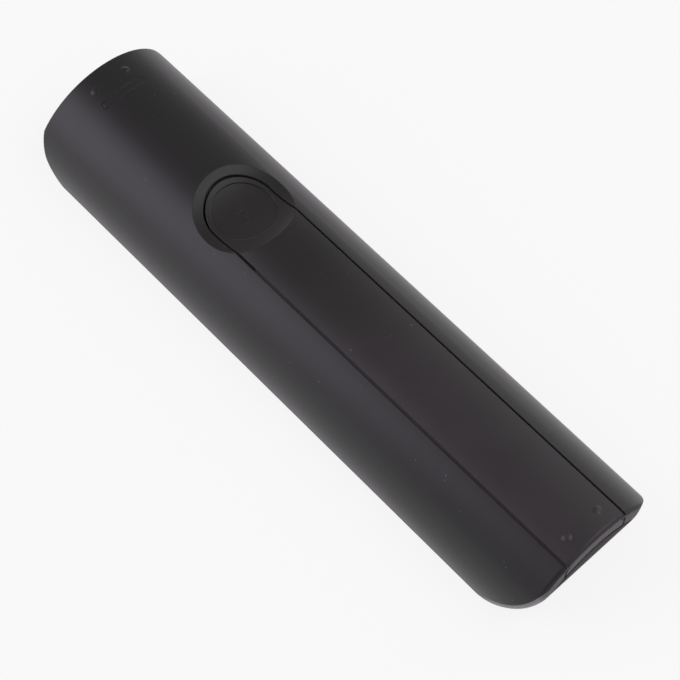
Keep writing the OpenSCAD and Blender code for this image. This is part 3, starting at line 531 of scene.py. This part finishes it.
def add_stroke(shape, points, place):
    """Thin bar along points, from just outside a key's face to just inside it."""
    edges, closed = stroke_edges(points)
    x, y, z = place
    rings = []
    for left, right in edges:
        corners = (
            (left, -INK_DEPTH), (right, -INK_DEPTH),
            (right, INK_DEPTH / 2), (left, INK_DEPTH / 2),
        )
        rings.append([shape.verts.new((x - at.x, y + at.y, z + high)) for at, high in corners])
    for a, b in zip(rings, rings[1:] + rings[:1] if closed else rings[1:]):
        for i in range(4):
            j = (i + 1) % 4
            shape.faces.new((a[i], a[j], b[j], b[i]))
    if not closed:
        shape.faces.new(rings[0])
        shape.faces.new(rings[-1])


def add_legend(node, signs, material):
    """Print on a key's face, which looks down at rest, so the user's right is -X."""
    low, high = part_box(node)
    place = ((low[0] + high[0]) / 2, (low[1] + high[1]) / 2, low[2])
    shape = bmesh.new()
    for sign, right, up, unit in signs:
        for points in SIGNS[sign]:
            flat = [
                ((u - GRID_MIDDLE[0]) * unit + right, (v - GRID_MIDDLE[1]) * unit + up)
                for u, v in points
            ]
            add_stroke(shape, flat, place)
    bmesh.ops.recalc_face_normals(shape, faces=shape.faces)
    mesh = bpy.data.meshes.new("legend_" + node)
    shape.to_mesh(mesh)
    shape.free()
    mesh.materials.append(material)
    legend = add_object("legend_" + node, mesh)
    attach(legend, node)


def add_camera():
    right, up = Vector(CAMERA_RIGHT).normalized(), Vector(CAMERA_UP).normalized()
    turn = Matrix((right, up, right.cross(up))).transposed().to_4x4()
    data = bpy.data.cameras.new("photo_camera")
    data.sensor_width = SENSOR_MM
    data.lens = LENS_MM
    data.clip_start, data.clip_end = CLIP_NEAR, CLIP_FAR
    camera = add_object("photo_camera", data)
    camera.matrix_world = Matrix.Translation(CAMERA_PLACE) @ turn
    bpy.context.scene.camera = camera


def floor_material():
    """Matt white, mostly plain white where it is seen, so that only a soft shadow stays."""
    g = Graph("floor_white")
    g.set(Base_Color=FLOOR_COLOUR, Roughness=FLOOR_ROUGH, Specular_IOR_Level=FLOOR_SHINE)
    rays = g.add("ShaderNodeLightPath").outputs
    seen = g.plus(rays["Is Glossy Ray"], rays["Is Transmission Ray"])
    seen = g.math("MINIMUM", g.plus(rays["Is Camera Ray"], seen), 1.0)
    glow = g.add("ShaderNodeEmission")
    glow.inputs["Color"].default_value = WHITE
    blend = g.add("ShaderNodeMixShader")
    g.link(g.times(seen, FLOOR_WHITE), blend.inputs["Fac"])
    g.link(g.shader.outputs["BSDF"], blend.inputs[1])
    g.link(glow.outputs["Emission"], blend.inputs[2])
    g.link(blend.outputs["Shader"], g.tree.nodes["Material Output"].inputs["Surface"])
    return g.material


def add_floor():
    half = FLOOR_SIZE / 2
    corners = [(-half, -half, 0), (half, -half, 0), (half, half, 0), (-half, half, 0)]
    mesh = bpy.data.meshes.new("floor")
    mesh.from_pydata(corners, [], [(0, 1, 2, 3)])
    mesh.materials.append(floor_material())
    floor = add_object("floor", mesh)


def add_lights():
    world = bpy.data.worlds.new("studio")
    bpy.context.scene.world = world
    world.use_nodes = True
    sky = world.node_tree.nodes["Background"]
    sky.inputs["Color"].default_value = WHITE
    sky.inputs["Strength"].default_value = WORLD_STRENGTH
    for name, azimuth, elevation, width, height, power, colour in LIGHTS:
        around, up = math.radians(azimuth), math.radians(elevation)
        flat = math.cos(up)
        way = Vector((flat * math.cos(around), flat * math.sin(around), math.sin(up)))
        place = LIGHT_DISTANCE * way
        data = bpy.data.lights.new(name, "AREA")
        data.shape = "RECTANGLE"
        data.size, data.size_y = width, height
        data.energy = power
        data.color = colour
        lamp = add_object(name, data)
        lamp.location = place
        lamp.rotation_euler = (-place).to_track_quat("-Z", "Y").to_euler()


paint_nodes()
print_white = ink("legend_white")
for key, signs in LEGENDS.items():
    add_legend(key, signs, print_white)
add_camera()
add_floor()
add_lights()
bpy.context.scene.view_settings.view_transform = "Standard"
